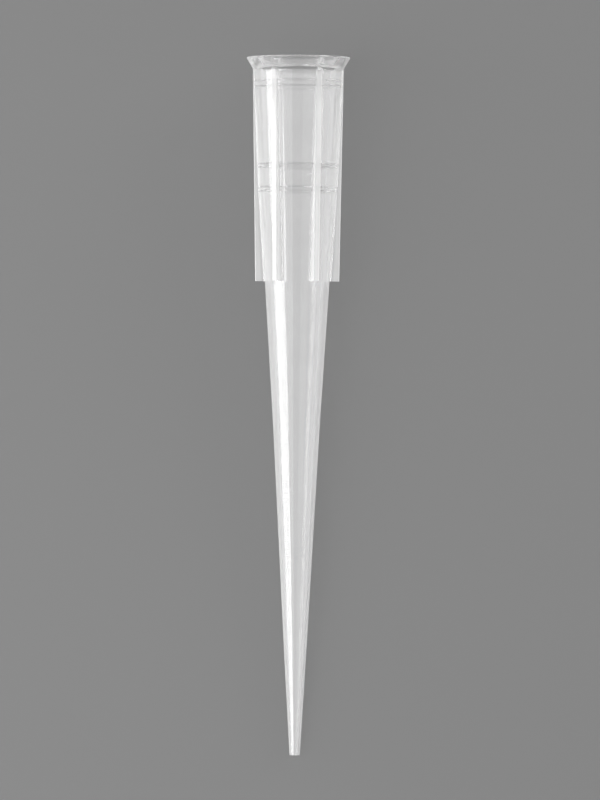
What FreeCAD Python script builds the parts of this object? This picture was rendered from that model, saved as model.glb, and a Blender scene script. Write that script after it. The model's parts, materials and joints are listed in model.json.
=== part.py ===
import FreeCAD, Part

import itertools
import math
import os

from FreeCAD import Vector

# A pipette tip for volumes up to 200 microlitres: one thin-walled moulding of clear
# polypropylene. A long bore narrows in four straight tapers from a flared mouth to a fine
# orifice. Fins around the upper third end in flat feet, on which the tip hangs in a rack,
# and low rings in the bore seal on the pipette's nose cone.
#
# Millimetres. Stations are heights along the tip's own axis, measured up from the orifice.
# The finished tip lies on its side as it comes to rest, with Z up and the mouth towards +Y.

# Lengths along the axis, from the orifice up
ORIFICE_TAPER_LENGTH = 7.7
SHANK_TAPER_LENGTH = 16.0
BODY_TAPER_LENGTH = 17.3
SOCKET_LENGTH = 8.8
FLARE_HEIGHT = 1.0

# Outside diameters where one taper meets the next
ORIFICE_OUTSIDE_DIAMETER = 0.75
SHANK_END_DIAMETER = 1.65
BODY_END_DIAMETER = 3.38
SOCKET_FLOOR_DIAMETER = 5.53
NECK_DIAMETER = 6.44
RIM_DIAMETER = 7.54

# Wall thickness at the same stations
ORIFICE_WALL = 0.15
SHANK_WALL = 0.19
BODY_WALL = 0.31
SOCKET_WALL = 0.44
NECK_WALL = 0.46

# Mouth: a lead-in chamfer for the nose cone leaves a flat lip
LEAD_IN_DEPTH = 0.68
LIP_WIDTH = 0.27
RIM_BAND = 0.08
RIM_EDGE_RADIUS = 0.05
NECK_FILLET = 0.2

# Fins: their outer edges lie on a slightly drafted collar, and their feet are flat
FIN_COUNT = 6
FIN_THICKNESS = 0.46
FIN_LENGTH = 15.3
FIN_FOOT_DIAMETER = 6.12
FIN_TOP_DIAMETER = 6.62
FIN_EDGE_RADIUS = 0.1

# Sealing rings, each measured down from the top of the rim to the middle of its crest
RING_HEIGHT = 0.06
RING_FLANK = 0.08
UPPER_RING_DEPTH = 1.93
UPPER_RING_CREST = 0.35
MIDDLE_RING_DEPTH = 7.87
MIDDLE_RING_CREST = 0.08
SEAT_RING_DEPTH = 9.6
SEAT_RING_CREST = 0.16

SHANK_STATION = ORIFICE_TAPER_LENGTH
BODY_STATION = SHANK_STATION + SHANK_TAPER_LENGTH
SOCKET_STATION = BODY_STATION + BODY_TAPER_LENGTH
NECK_STATION = SOCKET_STATION + SOCKET_LENGTH
RIM_STATION = NECK_STATION + FLARE_HEIGHT
FIN_FOOT_STATION = NECK_STATION - FIN_LENGTH
HALF_FIN_STEP = math.pi / FIN_COUNT

# Radius and station where each outside taper ends, and the wall there
OUTSIDE = [
    (ORIFICE_OUTSIDE_DIAMETER / 2, 0.0),
    (SHANK_END_DIAMETER / 2, SHANK_STATION),
    (BODY_END_DIAMETER / 2, BODY_STATION),
    (SOCKET_FLOOR_DIAMETER / 2, SOCKET_STATION),
    (NECK_DIAMETER / 2, NECK_STATION),
]
WALLS = [ORIFICE_WALL, SHANK_WALL, BODY_WALL, SOCKET_WALL, NECK_WALL]
BORE = [(radius - wall, station) for (radius, station), wall in zip(OUTSIDE, WALLS)]
CLEARANCE_PAST_END = 1.0


def radius_at(tapers, station):
    """Radius of a run of straight tapers at a station; the end tapers run on past their ends."""
    spans = list(zip(tapers, tapers[1:]))
    for (low_radius, low), (high_radius, high) in spans:
        if station <= high or (high_radius, high) == tapers[-1]:
            share = (station - low) / (high - low)
            return low_radius + share * (high_radius - low_radius)


def turned(outline, hollow=False):
    """Solid turned about the axis from (radius, station) points.

    The outline closes along the axis, or straight back to its start if the solid is hollow.
    """
    closing = [] if hollow else [(0.0, outline[-1][1]), (0.0, outline[0][1])]
    points = [Vector(radius, 0, station) for radius, station in outline + closing]
    face = Part.Face(Part.makePolygon(points + points[:1]))
    return face.revolve(Vector(0, 0, 0), Vector(0, 0, 1), 360)


def edges_at(shape, radius, station):
    """Round edges of a turned shape that lie at a radius and station."""
    found = []
    for edge in shape.Edges:
        curve = edge.Curve
        if not isinstance(curve, Part.Circle):
            continue
        if abs(curve.Radius - radius) < 1e-4 and abs(curve.Center.z - station) < 1e-4:
            found.append(edge)
    return found


def outer_form():
    """The tapered body with its flared rim, solid inside."""
    rim_radius = RIM_DIAMETER / 2
    rim = [(rim_radius, RIM_STATION - RIM_BAND), (rim_radius, RIM_STATION)]
    body = turned(OUTSIDE + rim)
    body = body.makeFillet(RIM_EDGE_RADIUS, edges_at(body, rim_radius, RIM_STATION))
    return body.makeFillet(NECK_FILLET, edges_at(body, NECK_DIAMETER / 2, NECK_STATION))


def fin_section(station, outer_radius):
    """Cross-section of one fin: a strip from inside the wall out to two rounded edges."""
    half = FIN_THICKNESS / 2
    flat = half - FIN_EDGE_RADIUS
    shoulder = outer_radius - FIN_EDGE_RADIUS
    root = (radius_at(OUTSIDE, station) + radius_at(BORE, station)) / 2
    corner = FIN_EDGE_RADIUS * math.sin(math.pi / 4)

    def at(across, out):
        return Vector(out, across, station)

    def rounded(side):
        return Part.Arc(
            at(side * half, shoulder),
            at(side * (flat + corner), shoulder + corner),
            at(side * flat, outer_radius),
        ).toShape()

    return Part.Wire(
        [
            Part.makeLine(at(-half, root), at(-half, shoulder)),
            rounded(-1),
            Part.makeLine(at(-flat, outer_radius), at(flat, outer_radius)),
            rounded(1),
            Part.makeLine(at(half, shoulder), at(half, root)),
            Part.makeLine(at(half, root), at(-half, root)),
        ]
    )


def fins():
    """Fins in equal steps round the body, from their feet up into the flare."""
    top_station = NECK_STATION + FLARE_HEIGHT / 2
    foot = fin_section(FIN_FOOT_STATION, FIN_FOOT_DIAMETER / 2)
    top = fin_section(top_station, FIN_TOP_DIAMETER / 2)
    fin = Part.makeLoft([foot, top], True, True)
    copies = []
    for index in range(FIN_COUNT):
        copy = fin.copy()
        angle = math.pi / 2 + (2 * index + 1) * HALF_FIN_STEP
        copy.rotate(Vector(0, 0, 0), Vector(0, 0, 1), math.degrees(angle))
        copies.append(copy)
    return copies


def ring_groove(depth, crest):
    """The groove that one sealing ring leaves in the core: a turned trapezium."""
    middle = RIM_STATION - depth
    crest_radius = radius_at(BORE, middle) - RING_HEIGHT
    buried_radius = crest_radius + 2 * RING_HEIGHT
    half_crest = crest / 2
    half_base = half_crest + 2 * RING_FLANK
    outline = [
        (crest_radius, middle - half_crest),
        (buried_radius, middle - half_base),
        (buried_radius, middle + half_base),
        (crest_radius, middle + half_crest),
    ]
    return turned(outline, hollow=True)


def core():
    """The space inside the tip, from below the orifice to above the mouth."""
    lead_in_station = RIM_STATION - LEAD_IN_DEPTH
    mouth_radius = RIM_DIAMETER / 2 - LIP_WIDTH
    bore = turned(
        [
            (BORE[0][0], -CLEARANCE_PAST_END),
            *BORE[:-1],
            (radius_at(BORE, lead_in_station), lead_in_station),
            (mouth_radius, RIM_STATION),
            (mouth_radius, RIM_STATION + CLEARANCE_PAST_END),
        ]
    )
    rings = [
        ring_groove(UPPER_RING_DEPTH, UPPER_RING_CREST),
        ring_groove(MIDDLE_RING_DEPTH, MIDDLE_RING_CREST),
        ring_groove(SEAT_RING_DEPTH, SEAT_RING_CREST),
    ]
    return bore.cut(rings)


def floor_contacts():
    """(station, drop below the axis) of what can touch the floor, from the orifice up.

    They are the orifice end, the feet of the two lowest fins and the rim.
    """
    flat = FIN_THICKNESS / 2 - FIN_EDGE_RADIUS
    shoulder = FIN_FOOT_DIAMETER / 2 - FIN_EDGE_RADIUS
    drop = shoulder * math.cos(HALF_FIN_STEP) + flat * math.sin(HALF_FIN_STEP)
    return [
        (0.0, ORIFICE_OUTSIDE_DIAMETER / 2),
        (FIN_FOOT_STATION, drop + FIN_EDGE_RADIUS),
        (RIM_STATION - RIM_BAND, RIM_DIAMETER / 2),
    ]


def resting_pose(balance_station):
    """(angle by which the axis rises towards the mouth, height of the orifice's centre).

    The tip comes to rest on the two contacts that lie either side of its centre of mass and
    leave the third one clear of the floor.
    """
    contacts = floor_contacts()
    for low, high in itertools.combinations(contacts, 2):
        slope = (high[1] - low[1]) / (high[0] - low[0])
        clear = all(low[1] + slope * (at - low[0]) >= drop - 1e-9 for at, drop in contacts)
        balanced = low[0] + slope * low[1] <= balance_station <= high[0] + slope * high[1]
        if clear and balanced:
            tilt = math.atan(slope)
            return tilt, low[1] * math.cos(tilt) - low[0] * math.sin(tilt)


def laid_down(solid):
    """Placement of the tip at rest on the floor, centred over the origin."""
    tilt, orifice_height = resting_pose(solid.CenterOfMass.z)
    near_end = -ORIFICE_OUTSIDE_DIAMETER / 2 * math.sin(tilt)
    rim_centre = RIM_STATION - RIM_EDGE_RADIUS
    rim_radius = RIM_DIAMETER / 2 - RIM_EDGE_RADIUS
    far_end = rim_centre * math.cos(tilt) + rim_radius * math.sin(tilt) + RIM_EDGE_RADIUS
    return FreeCAD.Placement(
        Vector(0, -(near_end + far_end) / 2, orifice_height),
        FreeCAD.Rotation(Vector(1, 0, 0), math.degrees(tilt) - 90),
    )


upright = outer_form().fuse(fins()).cut(core()).removeSplitter().Solids[0]
resting = laid_down(upright)
tip = upright.copy()
tip.Placement = resting

os.makedirs("parts", exist_ok=True)
tip.exportStep("parts/tip.step")
print(f"tip: valid {tip.isValid()}, {tip.Volume:.1f} cubic mm, {len(tip.Faces)} faces")
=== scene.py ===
"""A clear polypropylene pipette tip, lying as it comes to rest on a plain studio floor.

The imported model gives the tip's place: the socket mount lies on its axis. The sizes below
repeat the moulding's own, in metres. Stations are measured along the tip's axis from its
orifice, and a mesh is built about the local Z axis before it is laid down.
"""

import json
import logging
import math
from dataclasses import dataclass, field
from enum import Enum

import bpy
from mathutils import Matrix, Quaternion, Vector

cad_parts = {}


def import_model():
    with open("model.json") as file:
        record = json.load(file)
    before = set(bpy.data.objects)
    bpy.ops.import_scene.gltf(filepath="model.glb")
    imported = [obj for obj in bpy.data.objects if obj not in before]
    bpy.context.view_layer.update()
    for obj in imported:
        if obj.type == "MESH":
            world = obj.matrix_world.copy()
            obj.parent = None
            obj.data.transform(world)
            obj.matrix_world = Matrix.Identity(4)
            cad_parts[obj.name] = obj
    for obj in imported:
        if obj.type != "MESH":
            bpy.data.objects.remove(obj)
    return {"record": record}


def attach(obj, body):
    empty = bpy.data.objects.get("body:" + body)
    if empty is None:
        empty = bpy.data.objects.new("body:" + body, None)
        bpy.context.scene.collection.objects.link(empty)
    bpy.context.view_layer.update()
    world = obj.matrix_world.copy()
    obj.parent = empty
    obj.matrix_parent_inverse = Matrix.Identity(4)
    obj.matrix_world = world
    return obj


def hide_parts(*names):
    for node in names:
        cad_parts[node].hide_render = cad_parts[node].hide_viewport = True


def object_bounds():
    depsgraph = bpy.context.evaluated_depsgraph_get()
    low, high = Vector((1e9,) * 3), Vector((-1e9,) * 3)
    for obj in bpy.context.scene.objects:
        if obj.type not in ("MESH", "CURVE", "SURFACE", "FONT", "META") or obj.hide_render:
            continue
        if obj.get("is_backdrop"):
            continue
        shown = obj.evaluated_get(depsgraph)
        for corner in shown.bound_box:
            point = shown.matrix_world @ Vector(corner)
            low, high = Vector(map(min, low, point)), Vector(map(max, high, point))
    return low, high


MM = 0.001
log = logging.getLogger("pipette_tip")

# Levels of a mask, off and on, and the levels between which most of a noise pattern lies
MASK = (0.0, 1.0)
NOISE = (0.3, 0.7)

# The two ends of a span, a point's radius and station, and a corner's with its bend
Span = tuple[float, float]
Point = tuple[float, float]
Corner = tuple[float, float, float]
NodeTree = bpy.types.NodeTree
NodeSocket = bpy.types.NodeSocket


def arc_points(middle: Vector, start: Vector, end: Vector, steps: int) -> list[Vector]:
    """Points on an arc, which may widen evenly as it goes.

    Args:
        middle: the arc's centre.
        start: spoke from the centre to the first point.
        end: spoke from the centre to the last point.
        steps: straight pieces in the arc.

    Returns:
        The arc's points, both ends among them.
    """
    turn = math.atan2(start.x * end.y - start.y * end.x, start.dot(end))
    points = []
    for step in range(steps + 1):
        share = step / steps
        reach = 1 + share * (end.length / start.length - 1)
        points.append(middle + Matrix.Rotation(turn * share, 2) @ start * reach)
    return points


def rounded_outline(corners: list[Corner], steps: int) -> list[Point]:
    """Rounds the corners of a closed outline with arcs tangent to both sides.

    Args:
        corners: (radius, station, corner radius) of each corner in order.
        steps: straight pieces in each arc.

    Returns:
        The closed outline's points, without a repeat of the first.
    """
    outline: list[Point] = []
    for index, (across, along, bend) in enumerate(corners):
        here = Vector((across, along))
        if bend <= 0:
            outline.append((here.x, here.y))
            continue
        before = (Vector(corners[index - 1][:2]) - here).normalized()
        after = (Vector(corners[(index + 1) % len(corners)][:2]) - here).normalized()
        half = before.angle(after) / 2
        centre = here + (before + after).normalized() * (bend / math.sin(half))
        start = here + before * (bend / math.tan(half)) - centre
        end = here + after * (bend / math.tan(half)) - centre
        outline += [(point.x, point.y) for point in arc_points(centre, start, end, steps)]
    return outline


def with_supports(outline: list[Point], inset: float) -> list[Point]:
    """Adds a point near each end of every long side, which keeps smooth shading at the bends.

    Args:
        outline: points of a closed outline.
        inset: distance of the added points from the corners; a side under 3 insets gets none.

    Returns:
        The outline with the added points.
    """
    supported: list[Point] = []
    for index, point in enumerate(outline):
        supported.append(point)
        here = Vector(point)
        side = Vector(outline[(index + 1) % len(outline)]) - here
        if side.length > 3 * inset:
            near = here + side.normalized() * inset
            far = here + side - side.normalized() * inset
            supported += [(near.x, near.y), (far.x, far.y)]
    return supported


def turned_mesh(name: str, outline: list[Point], segments: int) -> bpy.types.Mesh:
    """Turns a closed outline that stays off the axis into a closed, ring-shaped mesh.

    Args:
        name: the mesh's name.
        outline: (radius, station) points, upwards along the outside and back down inside.
        segments: faces round the axis.

    Returns:
        The mesh, about the local Z axis.
    """
    count = len(outline)
    vertices = []
    faces = []
    for turn in range(segments):
        angle = math.tau * turn / segments
        vertices += [(r * math.cos(angle), r * math.sin(angle), station) for r, station in outline]
        near, far = turn * count, (turn + 1) % segments * count
        for index in range(count):
            following = (index + 1) % count
            faces.append((near + index, far + index, far + following, near + following))
    mesh = bpy.data.meshes.new(name)
    mesh.from_pydata(vertices, [], faces)
    return mesh


def new_object(name: str, mesh: bpy.types.Mesh) -> bpy.types.Object:
    """Links a new object into the scene.

    Args:
        name: the object's name.
        mesh: its mesh.

    Returns:
        The object.
    """
    piece = bpy.data.objects.new(name, mesh)
    bpy.context.scene.collection.objects.link(piece)
    return piece


def stepped(
    tree: NodeTree,
    value: NodeSocket,
    span: Span,
    levels: tuple[float | NodeSocket, float],
) -> NodeSocket:
    """Adds a node that takes a value from one level to another, and holds it there past the span.

    Args:
        tree: the node tree.
        value: the value.
        span: where the change starts and ends.
        levels: the result at the start and at the end; the first may be a socket.

    Returns:
        The result, as a value socket.
    """
    change = tree.nodes.new("ShaderNodeMapRange")
    tree.links.new(value, change.inputs["Value"])
    change.inputs["From Min"].default_value, change.inputs["From Max"].default_value = span
    change.inputs["To Max"].default_value = levels[1]
    if isinstance(levels[0], NodeSocket):
        tree.links.new(levels[0], change.inputs["To Min"])
    else:
        change.inputs["To Min"].default_value = levels[0]
    return change.outputs["Result"]


def worked_out(tree: NodeTree, operation: str, *values: float | NodeSocket) -> NodeSocket:
    """Adds a sum to a node tree.

    Args:
        tree: the node tree.
        operation: Blender's name of the sum.
        values: the numbers or value sockets that go into it.

    Returns:
        The result, as a value socket.
    """
    node = tree.nodes.new("ShaderNodeMath")
    node.operation = operation
    for given, value in zip(node.inputs, values):
        if isinstance(value, NodeSocket):
            tree.links.new(value, given)
        else:
            given.default_value = value
    return node.outputs["Value"]


@dataclass(frozen=True)
class Lie:
    """Where the tip lies.

    Attributes:
        orifice: centre of the narrow end.
        along: unit vector along the axis, from the orifice to the mouth.
    """

    orifice: Vector
    along: Vector

    @classmethod
    def from_socket(cls, record: dict, seat_station: float) -> "Lie":
        """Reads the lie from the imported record's socket mount.

        Args:
            record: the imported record.
            seat_station: the mount's distance from the orifice.

        Returns:
            The tip's lie.
        """
        socket = next(mount for mount in record["mounts"] if mount["name"] == "socket")
        along = Vector(socket["axis"]).normalized()
        return cls(Vector(socket["pos_m"]) - along * seat_station, along)

    @property
    def up(self) -> Vector:
        """Unit vector square to the axis, on the side that faces up."""
        return (Vector((0, 0, 1)) - self.along * self.along.z).normalized()

    def placement(self) -> Matrix:
        """Works out how a mesh built about the local Z axis is laid down, its -Y side up.

        Returns:
            The matrix that moves and turns the mesh.
        """
        side = self.along.cross(self.up)
        turned = Matrix((side, -self.up, self.along)).transposed()
        return Matrix.Translation(self.orifice) @ turned.to_4x4()


@dataclass(frozen=True)
class SealingRing:
    """A low ring in the bore.

    Attributes:
        depth: distance of its middle below the top of the rim.
        crest: length of its crest along the axis.
        height: how far the crest stands out from the bore.
        flank: length of each slope beside the crest.
        softness: bend at the feet and at the edges of the crest.
    """

    depth: float
    crest: float
    height: float = 0.06 * MM
    flank: float = 0.08 * MM
    softness: float = 0.02 * MM

    @property
    def flank_offset(self) -> float:
        """Distance from the ring's middle to the middle of either flank."""
        return (self.crest + self.flank) / 2

    def corners(self, rim_station: float, bore: "TaperRun") -> list[Corner]:
        """Corners of the ring on the bore, from its upper foot to its lower foot.

        Args:
            rim_station: station of the top of the rim.
            bore: the bore's tapers.

        Returns:
            Four corners in order.
        """
        middle = rim_station - self.depth
        crest_radius = bore.radius(middle) - self.height
        reach = self.crest / 2 + self.flank
        return [
            (bore.radius(middle + reach), middle + reach, self.softness),
            (crest_radius, middle + self.crest / 2, self.softness),
            (crest_radius, middle - self.crest / 2, self.softness),
            (bore.radius(middle - reach), middle - reach, self.softness),
        ]


@dataclass
class TaperRun:
    """A run of straight tapers.

    Attributes:
        points: (radius, station) where one taper meets the next, lowest station first.
    """

    points: list[Point]

    def radius(self, station: float) -> float:
        """Reads the radius at a station; the last taper runs on past its end.

        Args:
            station: the station.

        Returns:
            The radius there.
        """
        for (low_radius, low), (high_radius, high) in zip(self.points, self.points[1:]):
            if station <= high or high == self.points[-1][1]:
                return low_radius + (station - low) / (high - low) * (high_radius - low_radius)
        raise ValueError("a run of tapers needs at least two points")


@dataclass
class MouldedBody:
    """The thin-walled cone with its flared mouth and the sealing rings in its bore.

    Attributes:
        stations: where one straight taper meets the next, from the orifice to the neck.
        diameters: outside diameter at each station.
        walls: wall thickness at each station.
        rim_station: top of the rim.
        rim_diameter: outside diameter of the rim.
        rim_band: height of the upright band below the top of the rim.
        lip_width: width of the flat top of the rim.
        lead_in_depth: how far below the top of the rim the lead-in meets the bore.
        throat_depth: how far below the top of the rim the lead-in turns into a flatter step.
        throat_radius: radius of that turn.
        orifice_bend: bend of both edges at the orifice.
        neck_bend: bend in the hollow below the flare.
        band_bend: bend at the foot of the rim's band.
        rim_bend: bend of the rim's outer edge.
        lip_bend: bend of the rim's inner edge.
        lead_in_bend: bend at the turn of the lead-in and at its end.
        bend_steps: straight pieces in each bend.
        support_inset: distance from a bend of the points that keep its shading smooth.
        segments: faces round the axis.
        rings: the sealing rings, from the mouth down.
    """

    stations: tuple[float, ...] = (0.0, 7.7 * MM, 23.7 * MM, 41.0 * MM, 49.8 * MM)
    diameters: tuple[float, ...] = (0.75 * MM, 1.65 * MM, 3.38 * MM, 5.53 * MM, 6.44 * MM)
    walls: tuple[float, ...] = (0.15 * MM, 0.19 * MM, 0.31 * MM, 0.44 * MM, 0.46 * MM)
    rim_station: float = 50.8 * MM
    rim_diameter: float = 7.54 * MM
    rim_band: float = 0.08 * MM
    lip_width: float = 0.27 * MM
    lead_in_depth: float = 0.69 * MM
    throat_depth: float = 0.54 * MM
    throat_radius: float = 2.98 * MM
    orifice_bend: float = 0.03 * MM
    neck_bend: float = 0.2 * MM
    band_bend: float = 0.02 * MM
    rim_bend: float = 0.05 * MM
    lip_bend: float = 0.06 * MM
    lead_in_bend: float = 0.03 * MM
    bend_steps: int = 5
    support_inset: float = 0.04 * MM
    segments: int = 256
    rings: tuple[SealingRing, ...] = (
        SealingRing(depth=1.93 * MM, crest=0.31 * MM, flank=0.1 * MM, softness=0.05 * MM),
        SealingRing(depth=7.89 * MM, crest=0.13 * MM),
        SealingRing(depth=9.6 * MM, crest=0.19 * MM),
    )

    @property
    def seat_station(self) -> float:
        """Station of the lowest sealing ring, where the nose cone's end seats."""
        return self.rim_station - self.rings[-1].depth

    @property
    def outside(self) -> TaperRun:
        """The outside tapers, from the orifice to the neck."""
        radii = [diameter / 2 for diameter in self.diameters]
        return TaperRun(list(zip(radii, self.stations)))

    @property
    def bore(self) -> TaperRun:
        """The bore's tapers, from the orifice to the neck."""
        walled = zip(self.outside.points, self.walls)
        return TaperRun([(radius - wall, station) for (radius, station), wall in walled])

    def corners(self) -> list[Corner]:
        """Lists the corners of the wall's closed section.

        Returns:
            (radius, station, bend) of each corner, up the outside and back down the bore.
        """
        rim = self.rim_diameter / 2
        lip = rim - self.lip_width
        lead_in = self.rim_station - self.lead_in_depth
        outer = [(radius, station, 0.0) for radius, station in self.outside.points]
        inner = [(radius, station, 0.0) for radius, station in self.bore.points]
        neck_radius, neck_station, _ = outer.pop()
        section = [(outer[0][0], 0.0, self.orifice_bend)] + outer[1:]
        section += [
            (neck_radius, neck_station, self.neck_bend),
            (rim, self.rim_station - self.rim_band, self.band_bend),
            (rim, self.rim_station, self.rim_bend),
            (lip, self.rim_station, self.lip_bend),
            (self.throat_radius, self.rim_station - self.throat_depth, self.lead_in_bend),
            (self.bore.radius(lead_in), lead_in, self.lead_in_bend),
        ]
        for ring in self.rings:
            section += ring.corners(self.rim_station, self.bore)
        section += list(reversed(inner[1:-1]))
        section.append((inner[0][0], 0.0, self.orifice_bend))
        return section

    def mesh(self) -> bpy.types.Mesh:
        """The wall as one closed mesh about the local Z axis."""
        outline = rounded_outline(self.corners(), self.bend_steps)
        return turned_mesh("tip_wall", with_supports(outline, self.support_inset), self.segments)


@dataclass
class RackFins:
    """The fins on whose flat feet the tip hangs in a rack.

    Attributes:
        body: the wall that carries the fins.
        count: fins round the body.
        thickness: thickness of each fin.
        foot_station: station of the flat feet.
        top_station: station of the fins' upper ends, inside the flare.
        foot_radius: distance of the outer faces from the axis at the feet.
        top_radius: the same distance at the upper ends.
        edge_radius: bend of the outer edges, at the feet and at the top.
        root_fillet: largest fillet between a fin's side and the body.
        least_fillet: what is left of it where the fin hardly stands out.
        sink: how far the fillet's foot lies below the body's surface.
        least_side: shortest flat side between a fillet and an outer edge.
        edge_supports: where points on a flat side keep its shading smooth, as shares of it.
        face_support: the same on half of the outer face, from its middle.
        fillet_steps: straight pieces in each fillet.
        edge_steps: straight pieces in each outer edge's bend.
        levels: lengths into which a fin is divided.
        foot_support: share of a fin's height at which points keep its foot's edge crisp.
    """

    body: MouldedBody
    count: int = 6
    thickness: float = 0.46 * MM
    foot_station: float = 34.5 * MM
    top_station: float = 50.3 * MM
    foot_radius: float = 3.06 * MM
    top_radius: float = 3.31 * MM
    edge_radius: tuple[float, float] = (0.1 * MM, 0.05 * MM)
    root_fillet: float = 0.2 * MM
    least_fillet: float = 0.02 * MM
    sink: float = 0.004 * MM
    least_side: float = 0.001 * MM
    edge_supports: tuple[float, float] = (0.1, 0.9)
    face_support: float = 0.8
    fillet_steps: int = 6
    edge_steps: int = 5
    levels: int = 14
    foot_support: float = 0.002

    def section(self, share: float) -> list[Vector]:
        """Cross-section of a fin that points along local X.

        Args:
            share: how far up the fin the section lies, from 0 at the foot to 1 at the top.

        Returns:
            The section's points, round from the root on one side to the root on the other.
        """
        station = self.foot_station + share * (self.top_station - self.foot_station)
        outer = self.foot_radius + share * (self.top_radius - self.foot_radius)
        edge = self.edge_radius[0] + share * (self.edge_radius[1] - self.edge_radius[0])
        surface = self.body.outside.radius(station)
        fillet = min(self.root_fillet, max(outer - surface - edge, 0.0) + self.least_fillet)
        half = self.thickness / 2
        sunk = surface - self.sink
        middle = Vector((math.sqrt((sunk + fillet) ** 2 - (half + fillet) ** 2), half + fillet))
        foot = -middle * fillet / (sunk + fillet)
        root = arc_points(middle, foot, Vector((0, -fillet)), self.fillet_steps)
        shoulder = Vector((max(outer - edge, root[-1].x + self.least_side), half - edge))
        to_face = Vector((outer - shoulder.x, 0))
        bend = arc_points(shoulder, Vector((0, edge)), to_face, self.edge_steps)
        flat = [root[-1].lerp(bend[0], part) for part in self.edge_supports]
        face = [Vector((bend[-1].x, bend[-1].y * self.face_support))]
        buried = (surface + self.body.bore.radius(station)) / 2
        side = [Vector((buried, root[0].y))] + root + flat + bend + face
        mirrored = [Vector((point.x, -point.y)) for point in side]
        return [Vector((point.x, point.y, station)) for point in mirrored + side[::-1]]

    def mesh(self) -> bpy.types.Mesh:
        """Lofts one fin through its sections, from the foot to the top.

        Returns:
            The fin as a closed mesh that points along local X.
        """
        levels = range(1, self.levels + 1)
        shares = [0.0, self.foot_support] + [level / self.levels for level in levels]
        sections = [self.section(share) for share in shares]
        count = len(sections[0])
        faces = [tuple(reversed(range(count)))]
        last = (len(shares) - 1) * count
        for low in range(0, last, count):
            high = low + count
            for index in range(count):
                following = (index + 1) % count
                faces.append((low + index, low + following, high + following, high + index))
        faces.append(tuple(range(last, last + count)))
        mesh = bpy.data.meshes.new("fin")
        mesh.from_pydata([tuple(point) for section in sections for point in section], [], faces)
        return mesh

    def row_tree(self) -> NodeTree:
        """Sets up nodes that put fins in equal steps round a wall and join them to it.

        Returns:
            The node tree.
        """
        tree = bpy.data.node_groups.new("fin_row", "GeometryNodeTree")
        interface = tree.interface
        interface.new_socket("Wall", in_out="INPUT", socket_type="NodeSocketGeometry")
        interface.new_socket("Fin", in_out="INPUT", socket_type="NodeSocketObject")
        interface.new_socket("Count", in_out="INPUT", socket_type="NodeSocketInt")
        interface.new_socket("First Angle", in_out="INPUT", socket_type="NodeSocketFloat")
        interface.new_socket("Plastic", in_out="INPUT", socket_type="NodeSocketMaterial")
        interface.new_socket("Tip", in_out="OUTPUT", socket_type="NodeSocketGeometry")
        nodes, links = tree.nodes, tree.links
        given = nodes.new("NodeGroupInput")
        points = nodes.new("GeometryNodePoints")
        links.new(given.outputs["Count"], points.inputs["Count"])
        index = nodes.new("GeometryNodeInputIndex").outputs["Index"]
        step = worked_out(tree, "DIVIDE", math.tau, given.outputs["Count"])
        turn = worked_out(tree, "MULTIPLY_ADD", index, step, given.outputs["First Angle"])
        about_axis = nodes.new("ShaderNodeCombineXYZ")
        links.new(turn, about_axis.inputs["Z"])
        fin = nodes.new("GeometryNodeObjectInfo")
        links.new(given.outputs["Fin"], fin.inputs["Object"])
        row = nodes.new("GeometryNodeInstanceOnPoints")
        links.new(points.outputs["Points"], row.inputs["Points"])
        links.new(fin.outputs["Geometry"], row.inputs["Instance"])
        links.new(about_axis.outputs["Vector"], row.inputs["Rotation"])
        fins = nodes.new("GeometryNodeRealizeInstances")
        links.new(row.outputs["Instances"], fins.inputs["Geometry"])
        joined = nodes.new("GeometryNodeMeshBoolean")
        joined.operation = "UNION"
        joined.solver = "MANIFOLD"
        links.new(given.outputs["Wall"], joined.inputs["Mesh 2"])
        links.new(fins.outputs["Geometry"], joined.inputs["Mesh 2"])
        whole = nodes.new("GeometryNodeRealizeInstances")
        links.new(joined.outputs["Mesh"], whole.inputs["Geometry"])
        dressed = nodes.new("GeometryNodeSetMaterial")
        links.new(whole.outputs["Geometry"], dressed.inputs["Geometry"])
        links.new(given.outputs["Plastic"], dressed.inputs["Material"])
        result = nodes.new("NodeGroupOutput")
        links.new(dressed.outputs["Geometry"], result.inputs["Tip"])
        return tree


def run_tree(piece: bpy.types.Object, tree: NodeTree, values: dict[str, object]) -> None:
    """Runs a node tree on an object and keeps the result as its plain mesh.

    Args:
        piece: the object whose mesh goes into the tree.
        tree: the node tree.
        values: value of each named input.
    """
    modifier = piece.modifiers.new(tree.name, "NODES")
    modifier.node_group = tree
    for item in tree.interface.items_tree:
        if item.in_out == "INPUT" and item.name in values:
            modifier[item.identifier] = values[item.name]
    graph = bpy.context.evaluated_depsgraph_get()
    result = bpy.data.meshes.new_from_object(piece.evaluated_get(graph))
    piece.modifiers.remove(modifier)
    piece.data = result


class Grain(Enum):
    """Which way the fine marks on a turned mould run; the values stretch a pattern in X, Y and Z."""

    ALONG = (1.0, 0.004, 1.0)
    AROUND = (0.1, 1.0, 0.1)


@dataclass(frozen=True)
class MouldMarks:
    """Fine polishing or turning marks that a mould leaves on its moulding.

    Attributes:
        grain: which way the marks run.
        per_mm: about how many marks lie side by side in a millimetre.
        detail: how many layers of finer marks lie over them.
    """

    grain: Grain
    per_mm: float
    detail: float = 2.0

    def height(self, tree: NodeTree, place: NodeSocket) -> NodeSocket:
        """Adds the marks to a material.

        Args:
            tree: the material's node tree.
            place: place on the tip in millimetres, with Y along its axis.

        Returns:
            The marks' height, from 0 to 1.
        """
        stretch = tree.nodes.new("ShaderNodeMapping")
        stretch.inputs["Scale"].default_value = self.grain.value
        tree.links.new(place, stretch.inputs["Vector"])
        marks = tree.nodes.new("ShaderNodeTexNoise")
        marks.inputs["Scale"].default_value = self.per_mm
        marks.inputs["Detail"].default_value = self.detail
        tree.links.new(stretch.outputs["Vector"], marks.inputs["Vector"])
        return marks.outputs["Fac"]


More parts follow.
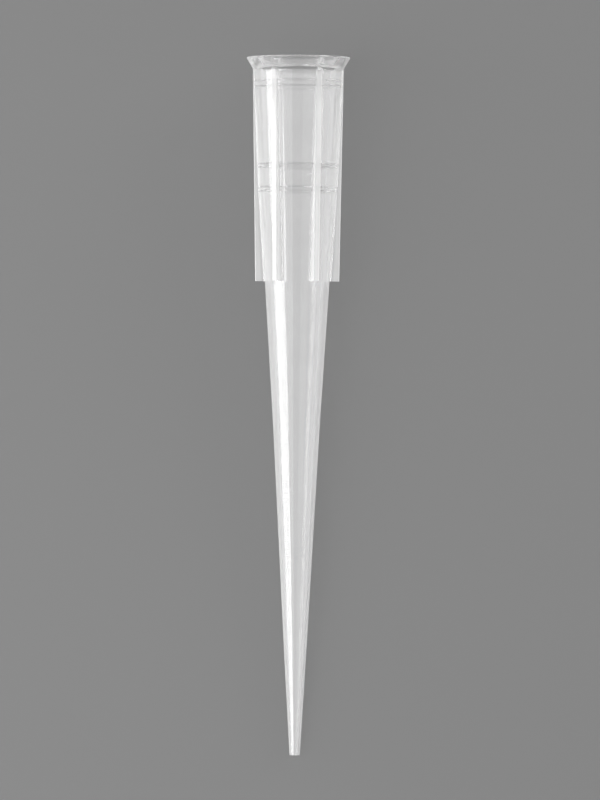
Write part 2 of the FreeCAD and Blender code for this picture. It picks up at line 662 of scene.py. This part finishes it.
@dataclass(frozen=True)
class ClearPolypropylene:
    """Natural polypropylene: glossy and clear, with a milky haze that thicker plastic has more of.

    The spans of heights, the reach of the polish and the blend are in millimetres.

    Attributes:
        haze: share of light that the body's haze scatters at each face seen square on.
        fin_haze: the same share in the fins.
        flare_haze: the same share in the flare.
        fin_span: heights over the body's surface where its haze gives way to the fins'.
        flare_blend: how far either side of the neck the body's finish gives way to the flare's.
        flank_share: how much of the haze is left on the polished flanks of the sealing rings.
        sink_share: how far the sink marks outside the rings are polished like the flanks.
        flank_reach: where that polish starts to fade and ends, from the middle of a flank.
        sink_span: heights inside the wall, so below zero, where flanks give way to sink marks.
        mark_span: heights over the body's surface where the sink marks end.
        slant: how fast the haze grows as the body's wall is seen at a slant.
        flare_slant: the same for the flare.
        grazing: added to how squarely a face is seen, so that the haze stays finite edge on.
        roughness: least and greatest roughness of the polish.
        tint: darkest and palest colour of the plastic, which differ where it flowed.
        flow_per_mm: about how many streams of plastic lie side by side in a millimetre.
        flow_detail: how many layers of finer streams lie over them.
        refraction: index of refraction.
        shadow: share of light that passes each face into the tip's shadow.
        body_marks: the mould's marks on the body.
        flare_marks: the mould's marks on the flare.
        mark_depths: depth of the marks on the body and on the flare, in metres.
        body: the wall, which the fins stand out from and whose neck starts the flare.
    """

    haze: float = 0.2
    fin_haze: float = 0.44
    flare_haze: float = 0.035
    fin_span: Span = (0.0, 0.25)
    flare_blend: float = 0.1
    flank_share: float = 0.4
    sink_share: float = 0.75
    flank_reach: Span = (0.05, 0.11)
    sink_span: Span = (-0.3, -0.2)
    mark_span: Span = (0.02, 0.1)
    slant: float = 1.2
    flare_slant: float = 3.0
    grazing: float = 0.08
    roughness: Span = (0.02, 0.06)
    tint: Span = (0.97, 1.0)
    flow_per_mm: float = 0.6
    flow_detail: float = 4.0
    refraction: float = 1.49
    shadow: float = 0.95
    body_marks: MouldMarks = MouldMarks(Grain.ALONG, 8.0)
    flare_marks: MouldMarks = MouldMarks(Grain.AROUND, 9.0)
    mark_depths: Span = (0.0001 * MM, 0.0015 * MM)
    body: MouldedBody = field(default_factory=MouldedBody)

    def place(self, tree: NodeTree, lie: Lie) -> NodeSocket:
        """Adds the place on the tip in millimetres, with Y along its axis and the orifice at zero.

        Args:
            tree: the material's node tree.
            lie: where the tip lies.

        Returns:
            The place, as a vector socket.
        """
        coordinates = tree.nodes.new("ShaderNodeTexCoord")
        level = tree.nodes.new("ShaderNodeMapping")
        turn = Matrix.Rotation(-math.atan2(lie.along.z, lie.along.y), 3, "X")
        level.inputs["Rotation"].default_value = turn.to_euler()
        level.inputs["Scale"].default_value = (1 / MM,) * 3
        level.inputs["Location"].default_value = -(turn @ lie.orifice) / MM
        tree.links.new(coordinates.outputs["Object"], level.inputs["Vector"])
        return level.outputs["Vector"]

    def flare_mask(self, tree: NodeTree, station: NodeSocket) -> NodeSocket:
        """Adds a mask of the flare: 0 on the body and 1 above the neck.

        Args:
            tree: the material's node tree.
            station: distance along the tip's axis from the orifice, in millimetres.

        Returns:
            The mask, as a value socket.
        """
        neck = self.body.stations[-1] / MM
        return stepped(tree, station, (neck - self.flare_blend, neck + self.flare_blend), MASK)

    def height_over_body(
        self, tree: NodeTree, place: NodeSocket, station: NodeSocket
    ) -> NodeSocket:
        """Adds the height over the body's surface round the socket, in millimetres.

        Args:
            tree: the material's node tree.
            place: place on the tip in millimetres, with Y along its axis.
            station: distance along the tip's axis from the orifice, in millimetres.

        Returns:
            The height, as a value socket: negative inside the wall.
        """
        (low_radius, low), (high_radius, high) = self.body.outside.points[-2:]
        rise = (high_radius - low_radius) / (high - low)
        start = (low_radius - rise * low) / MM
        across = tree.nodes.new("ShaderNodeVectorMath")
        across.operation = "MULTIPLY"
        across.inputs[1].default_value = (1.0, 0.0, 1.0)
        tree.links.new(place, across.inputs[0])
        radius = tree.nodes.new("ShaderNodeVectorMath")
        radius.operation = "LENGTH"
        tree.links.new(across.outputs["Vector"], radius.inputs[0])
        surface = worked_out(tree, "MULTIPLY_ADD", station, rise, start)
        return worked_out(tree, "SUBTRACT", radius.outputs["Value"], surface)

    def flank_mask(self, tree: NodeTree, station: NodeSocket, over: NodeSocket) -> NodeSocket:
        """Adds a mask of the sealing rings' flanks and of the sink marks outside them.

        Args:
            tree: the material's node tree.
            station: distance along the tip's axis from the orifice, in millimetres.
            over: height over the body's surface, in millimetres.

        Returns:
            The mask, as a value socket: 1 on the flanks, less on the marks and 0 elsewhere.
        """
        flanks: NodeSocket | float = 0.0
        for ring in self.body.rings:
            middle = (self.body.rim_station - ring.depth) / MM
            away = worked_out(tree, "ABSOLUTE", worked_out(tree, "SUBTRACT", station, middle))
            beyond = worked_out(tree, "SUBTRACT", away, ring.flank_offset / MM)
            near = stepped(tree, worked_out(tree, "ABSOLUTE", beyond), self.flank_reach, (1.0, 0.0))
            flanks = worked_out(tree, "MAXIMUM", flanks, near)
        in_bore = stepped(tree, over, self.sink_span, (1.0, self.sink_share))
        on_body = stepped(tree, over, self.mark_span, (in_bore, 0.0))
        return worked_out(tree, "MULTIPLY", flanks, on_body)

    def clearness(
        self, tree: NodeTree, flare: NodeSocket, over: NodeSocket, flanks: NodeSocket
    ) -> NodeSocket:
        """Adds the share of light that passes the haze, less where the wall is seen at a slant.

        Args:
            tree: the material's node tree.
            flare: mask of the flare.
            over: height over the body's surface, in millimetres.
            flanks: mask of the sealing rings' flanks and sink marks.

        Returns:
            The share, as a value socket.
        """
        hazes = (self.haze, self.fin_haze, self.flare_haze)
        body, fins, lip = (math.log(1 - haze) for haze in hazes)
        thick = stepped(tree, over, self.fin_span, (body, fins))
        whole = stepped(tree, flare, MASK, (thick, lip))
        left = stepped(tree, flanks, MASK, (1.0, self.flank_share))
        polished = worked_out(tree, "MULTIPLY", whole, left)
        weight = tree.nodes.new("ShaderNodeLayerWeight")
        weight.inputs["Blend"].default_value = 0.5
        facing = worked_out(tree, "SUBTRACT", 1 + self.grazing, weight.outputs["Facing"])
        growth = stepped(tree, flare, MASK, (self.slant, self.flare_slant))
        slant = worked_out(tree, "POWER", facing, growth)
        return worked_out(tree, "EXPONENT", worked_out(tree, "DIVIDE", polished, slant))

    def relief(
        self, tree: NodeTree, place: NodeSocket, flare: NodeSocket, marks: NodeSocket
    ) -> NodeSocket:
        """Adds the relief of the mould's marks: deeper and round the tip on the flare.

        Args:
            tree: the material's node tree.
            place: place on the tip in millimetres, with Y along its axis.
            flare: mask of the flare.
            marks: height of the body's marks.

        Returns:
            The relief, as a normal socket.
        """
        chosen = tree.nodes.new("ShaderNodeMix")
        tree.links.new(flare, chosen.inputs["Factor"])
        tree.links.new(marks, chosen.inputs["A"])
        tree.links.new(self.flare_marks.height(tree, place), chosen.inputs["B"])
        bump = tree.nodes.new("ShaderNodeBump")
        bump.inputs["Strength"].default_value = 1.0
        tree.links.new(stepped(tree, flare, MASK, self.mark_depths), bump.inputs["Distance"])
        tree.links.new(chosen.outputs["Result"], bump.inputs["Height"])
        return bump.outputs["Normal"]

    def plastic(self, tree: NodeTree, lie: Lie) -> NodeSocket:
        """Sets up the plastic on a new material's own shader.

        Args:
            tree: the material's node tree.
            lie: where the tip lies, which turns the marks with it.

        Returns:
            The plastic, as a shader socket.
        """
        shader = tree.nodes["Principled BSDF"]
        place = self.place(tree, lie)
        split = tree.nodes.new("ShaderNodeSeparateXYZ")
        tree.links.new(place, split.inputs["Vector"])
        station = split.outputs["Y"]
        flare = self.flare_mask(tree, station)
        over = self.height_over_body(tree, place, station)
        flanks = self.flank_mask(tree, station, over)
        marks = self.body_marks.height(tree, place)
        flow = tree.nodes.new("ShaderNodeTexNoise")
        flow.inputs["Scale"].default_value = self.flow_per_mm
        flow.inputs["Detail"].default_value = self.flow_detail
        tree.links.new(place, flow.inputs["Vector"])
        inputs = {
            "Base Color": stepped(tree, flow.outputs["Fac"], NOISE, self.tint),
            "Roughness": stepped(tree, marks, NOISE, self.roughness),
            "Normal": self.relief(tree, place, flare, marks),
            "Transmission Weight": self.clearness(tree, flare, over, flanks),
        }
        for name, value in inputs.items():
            tree.links.new(value, shader.inputs[name])
        shader.inputs["IOR"].default_value = self.refraction
        return shader.outputs["BSDF"]

    def material(self, lie: Lie) -> bpy.types.Material:
        """The finish as a material, which lets shadow and diffuse rays straight through.

        Args:
            lie: where the tip lies.

        Returns:
            The material.
        """
        material = bpy.data.materials.new("clear_polypropylene")
        material.use_nodes = True
        tree = material.node_tree
        path = tree.nodes.new("ShaderNodeLightPath")
        rays = (path.outputs["Is Shadow Ray"], path.outputs["Is Diffuse Ray"])
        through = tree.nodes.new("ShaderNodeBsdfTransparent")
        through.inputs["Color"].default_value = (self.shadow, self.shadow, self.shadow, 1)
        either = tree.nodes.new("ShaderNodeMixShader")
        tree.links.new(worked_out(tree, "MAXIMUM", *rays), either.inputs["Fac"])
        tree.links.new(self.plastic(tree, lie), either.inputs[1])
        tree.links.new(through.outputs["BSDF"], either.inputs[2])
        result = tree.nodes["Material Output"]
        tree.links.new(either.outputs["Shader"], result.inputs["Surface"])
        return material


@dataclass(frozen=True)
class PlainFloor:
    """A plain floor of one pale grey, wide enough for every view.

    Attributes:
        grey: its colour.
        roughness: how matt it is.
        gloss: how much it reflects, where 0.5 is a common plastic.
        reach: distance from its middle to each side.
    """

    grey: float = 0.25
    roughness: float = 0.9
    gloss: float = 0.1
    reach: float = 3.0

    def build(self, level: float) -> None:
        """Makes the floor and marks it as stage.

        Args:
            level: the floor's height.
        """
        reach = self.reach
        corners = [(-reach, -reach), (reach, -reach), (reach, reach), (-reach, reach)]
        mesh = bpy.data.meshes.new("floor")
        mesh.from_pydata([(x, y, level) for x, y in corners], [], [(0, 1, 2, 3)])
        material = bpy.data.materials.new("floor_grey")
        material.use_nodes = True
        shader = material.node_tree.nodes["Principled BSDF"]
        shader.inputs["Base Color"].default_value = (self.grey, self.grey, self.grey, 1)
        shader.inputs["Roughness"].default_value = self.roughness
        shader.inputs["Specular IOR Level"].default_value = self.gloss
        mesh.materials.append(material)
        floor = new_object("floor", mesh)
        floor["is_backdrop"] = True
        log.info("floor: %.1f m square", 2 * reach)


@dataclass(frozen=True)
class SoftBox:
    """A soft rectangular lamp that faces the tip's middle.

    Attributes:
        name: what the lamp is called.
        lean: its angle from overhead, towards +X, in degrees.
        brightness: how bright its face looks, where 1 is white.
        distance: how far away it is.
        shift: how far its middle lies towards the mouth.
        turn: its long side's angle from the tip's axis, in degrees.
        width: size of its short side.
        length: size of its long side.
    """

    name: str
    lean: float
    brightness: float
    distance: float = 0.5
    shift: float = 0.0
    turn: float = 0.0
    width: float = 0.25
    length: float = 0.5

    def build(self, middle: Vector) -> None:
        """Makes the lamp.

        Args:
            middle: the tip's middle.
        """
        data = bpy.data.lights.new(self.name, "AREA")
        data.shape = "RECTANGLE"
        data.size = self.width
        data.size_y = self.length
        data.energy = self.brightness * math.pi * self.width * self.length
        back = Quaternion((0, 1, 0), math.radians(self.lean)) @ Vector((0, 0, 1))
        along = Quaternion(back, math.radians(self.turn)) @ Vector((0, 1, 0))
        lamp = bpy.data.objects.new(self.name, data)
        lamp.location = middle + back * self.distance + Vector((0, self.shift, 0))
        lamp.rotation_euler = Matrix((along.cross(back), along, back)).transposed().to_euler()
        lamp.visible_camera = False
        bpy.context.scene.collection.objects.link(lamp)
        log.info("%s: built", self.name)


@dataclass(frozen=True)
class LookingDown:
    """A camera with a long lens, square to the tip's axis, from above, with the mouth at the top.

    Attributes:
        lens: focal length in Blender's millimetres.
        distance: from the camera to the point it aims at.
        aim_station: that point's station.
        aim_side: how far it lies to the right of the tip's axis.
        turn: how far the camera is turned about the tip's axis.
        roll: how far it is turned about its own.
        clip: nearest and farthest that it sees.
    """

    lens: float = 284.9
    distance: float = 461 * MM
    aim_station: float = 25.86 * MM
    aim_side: float = 0.25 * MM
    turn: float = math.radians(2.4)
    roll: float = math.radians(0.32)
    clip: Span = (0.01, 20.0)

    def build(self, lie: Lie) -> None:
        """Makes the scene's camera.

        Args:
            lie: where the tip lies.
        """
        back = Quaternion(lie.along, self.turn) @ lie.up
        top = Quaternion(back, self.roll) @ lie.along
        right = top.cross(back)
        aim = lie.orifice + lie.along * self.aim_station + right * self.aim_side
        data = bpy.data.cameras.new("camera")
        data.lens = self.lens
        data.clip_start, data.clip_end = self.clip
        camera = bpy.data.objects.new("camera", data)
        camera.rotation_euler = Matrix((right, top, back)).transposed().to_euler()
        camera.location = aim + back * self.distance
        bpy.context.scene.collection.objects.link(camera)
        bpy.context.scene.camera = camera


@dataclass
class PipetteTip:
    """The whole tip: one moulding of a tapered body and its fins.

    Attributes:
        body: the wall.
        finish: the plastic.
        sharp_angle: least angle at which an edge is shaded as an edge.
    """

    body: MouldedBody = field(default_factory=MouldedBody)
    finish: ClearPolypropylene = field(default_factory=ClearPolypropylene)
    sharp_angle: float = math.radians(30)

    def build(self, record: dict) -> Lie:
        """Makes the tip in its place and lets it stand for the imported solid.

        Args:
            record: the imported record.

        Returns:
            Where the tip lies.
        """
        lie = Lie.from_socket(record, self.body.seat_station)
        fins = RackFins(self.body)
        tip = new_object("moulded_tip", self.body.mesh())
        pattern = new_object("fin_pattern", fins.mesh())
        inputs = {
            "Fin": pattern,
            "Count": fins.count,
            "First Angle": math.pi / 2 + math.pi / fins.count,
            "Plastic": self.finish.material(lie),
        }
        run_tree(tip, fins.row_tree(), inputs)
        bpy.data.objects.remove(pattern)
        tip.data.transform(lie.placement())
        tip.data.shade_smooth()
        tip.data.set_sharp_from_angle(angle=self.sharp_angle)
        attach(tip, "root")
        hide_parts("tip")
        log.info("moulded_tip: %d faces", len(tip.data.polygons))
        return lie


def set_world(grey: float) -> None:
    """Lights the scene evenly from all round.

    Args:
        grey: how bright the surroundings are, where 1 is white.
    """
    world = bpy.data.worlds.new("studio")
    world.use_nodes = True
    background = world.node_tree.nodes["Background"]
    background.inputs["Color"].default_value = (grey, grey, grey, 1)
    bpy.context.scene.world = world


def main() -> None:
    """Builds the tip and the studio round it."""
    logging.basicConfig(level=logging.INFO, format="%(name)s: %(message)s")
    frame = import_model()
    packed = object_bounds()
    lie = PipetteTip().build(frame["record"])
    floor_level = packed[0].z
    PlainFloor().build(floor_level)
    middle = (packed[0] + packed[1]) / 2
    lamps = [
        SoftBox(
            "left_softbox",
            lean=-56.5,
            brightness=5.5,
            distance=0.3,
            shift=-0.067,
            turn=59.7,
            width=0.118,
            length=0.463,
        ),
        SoftBox("upper_softbox", lean=-28, brightness=0.8),
        SoftBox("right_softbox", lean=30, brightness=0.2),
        SoftBox("rear_softbox", lean=72, brightness=8.6, shift=0.35, width=0.3, length=0.4),
    ]
    for lamp in lamps:
        lamp.build(middle)
    set_world(grey=0.3)
    LookingDown().build(lie)
    bpy.context.scene.view_settings.view_transform = "Standard"


if __name__ == "__main__":
    main()
